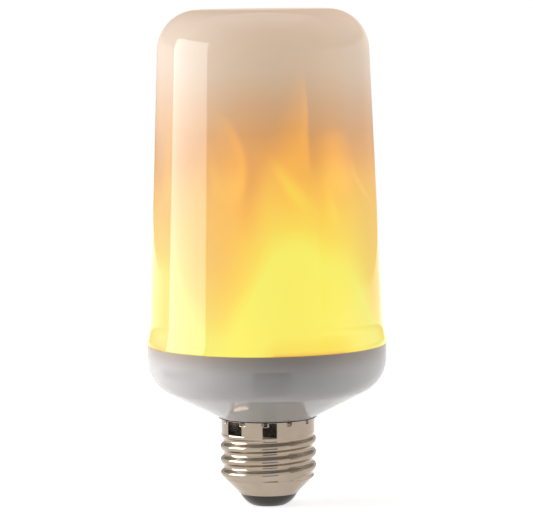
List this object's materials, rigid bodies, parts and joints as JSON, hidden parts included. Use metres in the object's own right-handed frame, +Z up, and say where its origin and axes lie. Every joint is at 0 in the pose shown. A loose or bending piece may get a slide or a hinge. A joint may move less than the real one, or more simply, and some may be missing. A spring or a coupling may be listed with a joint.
{
  "type": "flame effect led bulb",
  "caption": "Tall frosted lamp that glows like a flame, on a white bowl that narrows to a screw cap, with its inner light column, boards and leads.",
  "frame": {"origin": "on the lamp's axis, under the crown of the centre contact, which is the lowest point", "axes": "+Z up the lamp's axis, from the screw cap to the crown of the cover; -Y towards the viewer of the picture"},
  "size_m": [0.065, 0.065, 0.1348],
  "materials": {
    "contact_metal": "pressed, nickel plated",
    "black_button": "glossy black moulding",
    "plated_cap": "bright nickel plating on rolled sheet",
    "white_housing": "glossy white moulding",
    "milky_cover": "smooth milky cover, lit from inside in amber",
    "board_laminate": "green solder mask on laminate",
    "column_plastic": "satin white moulding",
    "flex_film": "white coated flexible film",
    "led_package": "white package with amber phosphor",
    "screw_steel": "zinc plated",
    "can_sleeve": "shrunk sleeve",
    "choke_windings": "dark ferrite under a shrunk sleeve",
    "film_box": "orange moulded box",
    "chip_resin": "matt black resin",
    "header_plastic": "black moulded bar",
    "resistor_coat": "blue green coating",
    "tinned_wire": "tinned wire"
  },
  "bodies": {
    "root": {"centre_contact": "contact_metal", "cap_insulator": "black_button", "cap_shell": "plated_cap", "housing": "white_housing", "diffuser": "milky_cover", "driver_board": "board_laminate", "led_column": "column_plastic", "column_lid": "column_plastic", "flex_circuit": "flex_film", "flame_leds": "led_package", "board_screws": "screw_steel", "input_capacitor": "can_sleeve", "output_capacitor": "can_sleeve", "choke": "choke_windings", "film_capacitor": "film_box", "bridge_rectifier": "chip_resin", "converter_chip": "chip_resin", "flame_controller": "chip_resin", "row_transistors": "chip_resin", "board_resistors": "chip_resin", "flex_header": "header_plastic", "fusible_resistor": "resistor_coat", "live_lead_low": "tinned_wire", "live_lead_high": "tinned_wire", "neutral_lead": "tinned_wire"}
  },
  "joints": []
}
